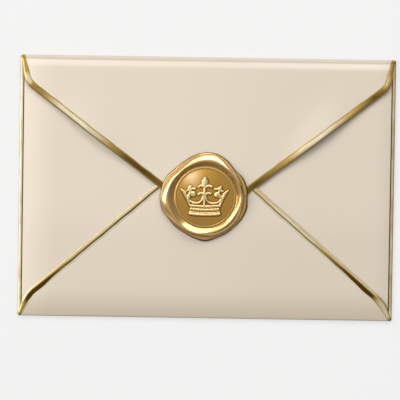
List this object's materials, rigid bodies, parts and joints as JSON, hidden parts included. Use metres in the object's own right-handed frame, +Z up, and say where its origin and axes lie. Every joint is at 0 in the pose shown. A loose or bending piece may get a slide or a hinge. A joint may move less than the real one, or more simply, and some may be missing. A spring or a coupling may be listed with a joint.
{
  "type": "paper envelope",
  "caption": "Closed paper envelope lying on its front, with gold-edged flaps, gold-edged side folds and a round gold wax seal stamped with a crown.",
  "frame": {"origin": "centre of the underside, which is the outside of the front panel", "axes": "+X along the envelope's long side, +Y to the fold of the top flap, +Z up through the flaps to the seal"},
  "size_m": [0.1622, 0.114, 0.0058],
  "materials": {
    "paper": "smooth cream paper with a faint pearl sheen",
    "gold_edge": "polished gold foil",
    "gum": "dried gum",
    "wax": "satin gold sealing wax"
  },
  "bodies": {
    "root": {"paper_sheet": "paper", "top_flap_gold_edge": "gold_edge", "bottom_flap_gold_edge": "gold_edge", "left_fold_gold_edge": "gold_edge", "right_fold_gold_edge": "gold_edge", "left_seam_glue": "gum", "right_seam_glue": "gum", "wax_seal": "wax"}
  },
  "joints": []
}
